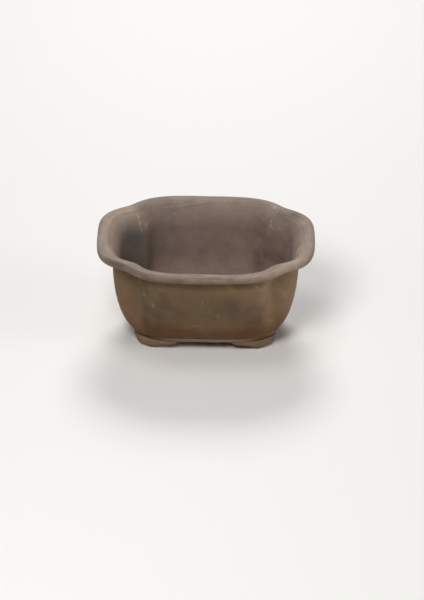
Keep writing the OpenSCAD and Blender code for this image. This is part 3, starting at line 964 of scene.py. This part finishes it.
def tube(path, radius_a, radius_b, sides, across=(0, 0, 1)):
    """An oval section carried along a path of points, ended by flat discs. Its first radius starts square to
    the given direction, and the section turns as little as it can from point to point. Returns points, faces
    and corner directions."""
    way = np.gradient(path, axis=0)
    way /= np.linalg.norm(way, axis=1, keepdims=True)
    side = np.empty_like(path)
    side[0] = np.cross(way[0], across)
    side[0] /= np.linalg.norm(side[0])
    for k in range(1, len(path)):
        side[k] = side[k - 1] - way[k] * (side[k - 1] @ way[k])
        side[k] /= np.linalg.norm(side[k])
    other = np.cross(way, side)
    a = np.arange(sides) * 2 * math.pi / sides
    ca, sa = np.cos(a)[None, :, None], np.sin(a)[None, :, None]
    grid = path[:, None] + side[:, None] * ca * radius_a + other[:, None] * sa * radius_b
    normal = side[:, None] * ca * radius_b + other[:, None] * sa * radius_a
    normal /= np.linalg.norm(normal, axis=-1, keepdims=True)
    rows = len(path)
    quads = grid_quads(rows, sides, False, True).reshape(-1, 4)
    points = np.concatenate([grid.reshape(-1, 3), path[:1], path[-1:]])
    k = np.arange(sides)
    k2 = (k + 1) % sides
    none = np.full(sides, -1)
    start = np.stack([k2, k, np.full(sides, rows * sides), none], axis=-1)
    last = (rows - 1) * sides
    end = np.stack([last + k, last + k2, np.full(sides, rows * sides + 1), none], axis=-1)
    corners = np.concatenate([normal.reshape(-1, 3)[quads], np.broadcast_to(-way[0], (sides, 4, 3)),
                              np.broadcast_to(way[-1], (sides, 4, 3))])
    return points, np.concatenate([quads, start, end]), corners


def join(tubes):
    """Several tubes as one set of points, faces and corner directions."""
    start = np.cumsum([0] + [len(p) for p, _, _ in tubes])[:-1]
    points = np.concatenate([p for p, _, _ in tubes])
    faces = np.concatenate([np.where(f >= 0, f + s, -1) for (_, f, _), s in zip(tubes, start)])
    return points, faces, np.concatenate([c for _, _, c in tubes])


def drain_screen(name, side, plastic):
    """Flat plastic strands woven over and under each other: each follows a cosine wave, half of it to a mesh
    opening."""
    thick = screen_high.z - screen_low.z
    half = (screen_high.x - screen_low.x) / 2
    cells = int((half - STRAND_W / 2) / MESH_PITCH)
    along = np.linspace(-half, half, STRAND_STEPS)
    tubes = []
    for n in range(-cells, cells + 1):
        for way in (0, 1):
            wave = thick / 4 * np.cos(math.pi * (along / MESH_PITCH + n + way))
            across = np.full_like(along, n * MESH_PITCH)
            x, y = (along, across) if way == 0 else (across, along)
            path = np.stack([side * drain_x + x, y, screen_low.z + thick / 2 + wave], axis=-1)
            tubes.append(tube(path, STRAND_W / 2, thick / 4, STRAND_SIDES))
    return put_mesh(name, *join(tubes), {}, plastic)


def arc(centre, start, end, turn):
    """Points from centre plus start, round through the given angle, where end is the direction that a
    quarter turn leads to."""
    a = np.linspace(0, turn, max(ARC_LEAST, int(turn / ARC_STEP)))[1:, None]
    return np.array(centre) + np.cos(a) * np.array(start) + np.sin(a) * np.array(end)


def screen_clip(name, side, wire):
    """One length of wire: a bar and two loops that lie on the mesh, legs down through the drain hole, and
    tails folded out under the floor. Half of it is a chain of lines and arcs, and the other half is the same
    turned round."""
    high, low = clip_high.z - WIRE_R, clip_low.z + WIRE_R
    bend = WIRE_BEND
    loop_r = LEG_AT + bend
    loop_at = LEG_AT + loop_r
    tail = LEG_AT + bend
    half = np.concatenate([
        np.linspace((0, 0, high), (loop_at, 0, high), BAR_STEPS),
        arc((loop_at, loop_r, high), (0, -loop_r, 0), (loop_r, 0, 0), 3 * QUARTER_TURN),
        arc((LEG_AT, loop_r, high - bend), (0, 0, bend), (0, -bend, 0), QUARTER_TURN),
        np.linspace((LEG_AT, LEG_AT, high - bend), (LEG_AT, LEG_AT, low + bend), LEG_STEPS)[1:],
        arc((tail, LEG_AT, low + bend), (-bend, 0, 0), (0, 0, -bend), QUARTER_TURN),
        np.linspace((tail, LEG_AT, low), (tail + CLIP_TAIL, LEG_AT, low), LEG_STEPS)[1:],
    ])
    path = np.concatenate([half[:0:-1] * (-1, -1, 1), half]) + (side * drain_x, 0, 0)
    return put_mesh(name, *tube(path, WIRE_R, WIRE_R, WIRE_SIDES, across=(0, 1, 0)), {}, wire)


# The pot

clay = stoneware("stoneware", NO_TINT)
skin = PotSkin()
dress(rim_lip(skin, clay), "rim_lip")
for node, first_corner in (("front_wall", "front_left"), ("back_wall", "back_right"),
                           ("left_wall", "back_left"), ("right_wall", "front_right")):
    dress(wall_panel(node + "_clay", skin, first_corner, clay), node)
dress(floor_slab(stoneware("slab_stoneware", SLAB_TINT)), "base_slab")
foot_material = stoneware("foot_stoneware", FOOT_TINT)
for corner in CORNERS:
    dress(cloud_foot("foot_" + corner + "_clay", corner, foot_material), "foot_" + corner)
plastic, wire = mesh_plastic(), drawn_wire()
for side, word in ((-1, "left"), (1, "right")):
    screen, clip = "drain_screen_" + word, "screen_clip_" + word
    dress(drain_screen(screen + "_weave", side, plastic), screen)
    dress(screen_clip(clip + "_wire", side, wire), clip)


# Stage: a plain pale floor, soft light and the photograph's camera

FLOOR_HALF = 8.0
FLOOR_ROUGH = 0.8
FLOOR_SEEN, FLOOR_BOUNCE = (0.86, 0.845, 0.82, 1), (0.78, 0.72, 0.63, 1)
# Round soft boxes: degrees round the pot from its front, degrees up, and watts
LAMPS = {
    "back": (180, 44, 22.6),
    "right_low": (75, 9, 17.9),
    "front_left": (-18, 48, 22.2),
    "overhead": (-60, 80, 7.0),
    "left_low": (-75, 12, 2.3),
}
LAMP_SIZE = 0.8
LAMP_AWAY = 2.0
LAMP_AIM = Vector((0, 0, 0.05))
# The camera, as measured on the photograph: far off with a long lens, so that lines stay parallel
FRAME_W, FRAME_H = 424, 600
AIM_Z = 55 * MM
AIM_PIXEL = (205.6, 287.15)
PIXELS_PER_M = 850.0
DISTANCE = 4.695
ELEVATION, SWING, ROLL = 29.387, 0.849, 0.458
SENSOR = 36.0


def seen_share(net):
    """1 for rays that show a thing, straight, in a reflection or through glass, and 0 for light that it
    scatters."""
    path = net.node("ShaderNodeLightPath").outputs
    straight = net.math("MAXIMUM", path["Is Camera Ray"], path["Is Glossy Ray"])
    return net.math("MAXIMUM", straight, path["Is Transmission Ray"])


def pale_floor():
    """A plain floor: pale to look at, and warm in the light that it throws back up."""
    mesh = bpy.data.meshes.new("pale_floor")
    corners = [(x * FLOOR_HALF, y * FLOOR_HALF, 0) for x, y in ((-1, -1), (1, -1), (1, 1), (-1, 1))]
    mesh.from_pydata(corners, [], [(0, 1, 2, 3)])
    material, net, shader = new_material("pale_floor")
    net.put(shader.inputs["Base Color"], net.blend(seen_share(net), FLOOR_BOUNCE, FLOOR_SEEN))
    shader.inputs["Roughness"].default_value = FLOOR_ROUGH
    mesh.materials.append(material)
    floor = bpy.data.objects.new("pale_floor", mesh)
    bpy.context.scene.collection.objects.link(floor)


def soft_light(name, turn, rise, power):
    """A round soft box that looks at the pot, turned round it from the front and raised by an angle."""
    turn, rise = math.radians(turn), math.radians(rise)
    away = Vector((math.sin(turn) * math.cos(rise), -math.cos(turn) * math.cos(rise), math.sin(rise)))
    lamp = bpy.data.lights.new(name, "AREA")
    lamp.shape = "DISK"
    lamp.size = LAMP_SIZE
    lamp.energy = power
    made = bpy.data.objects.new(name, lamp)
    aimed = away.to_track_quat("Z", "Y").to_matrix().to_4x4()
    made.matrix_world = Matrix.Translation(away * LAMP_AWAY + LAMP_AIM) @ aimed
    bpy.context.scene.collection.objects.link(made)


def plain_world():
    """White to look at, and dark as a light, so that the lamps alone light the pot."""
    world = bpy.data.worlds.new("studio")
    world.use_nodes = True
    net = Net(world.node_tree)
    shade = world.node_tree.nodes["Background"]
    net.put(shade.inputs["Strength"], seen_share(net))
    shade.inputs["Color"].default_value = (1, 1, 1, 1)
    bpy.context.scene.world = world


def photo_camera():
    """Stands at the photograph's angle, and slides so that the aim point falls on its pixel."""
    e, s, r = (math.radians(v) for v in (ELEVATION, SWING, ROLL))
    back = Vector((math.sin(s) * math.cos(e), -math.cos(s) * math.cos(e), math.sin(e)))
    flat_right = Vector((math.cos(s), math.sin(s), 0))
    flat_up = back.cross(flat_right)
    right = flat_right * math.cos(r) + flat_up * math.sin(r)
    up = flat_up * math.cos(r) - flat_right * math.sin(r)
    slide_right = (FRAME_W / 2 - AIM_PIXEL[0]) / PIXELS_PER_M
    slide_up = (AIM_PIXEL[1] - FRAME_H / 2) / PIXELS_PER_M
    place = Vector((0, 0, AIM_Z)) + right * slide_right + up * slide_up + back * DISTANCE
    camera = bpy.data.cameras.new("photo_camera")
    camera.sensor_width = SENSOR
    camera.lens = PIXELS_PER_M * DISTANCE * SENSOR / FRAME_H
    made = bpy.data.objects.new("photo_camera", camera)
    turn = Matrix((right, up, back)).transposed().to_4x4()
    made.matrix_world = Matrix.Translation(place) @ turn
    bpy.context.scene.collection.objects.link(made)
    bpy.context.scene.camera = made


pale_floor()
for lamp_name, (turn, rise, power) in LAMPS.items():
    soft_light(lamp_name, turn, rise, power)
plain_world()
photo_camera()
bpy.context.scene.view_settings.view_transform = "Standard"
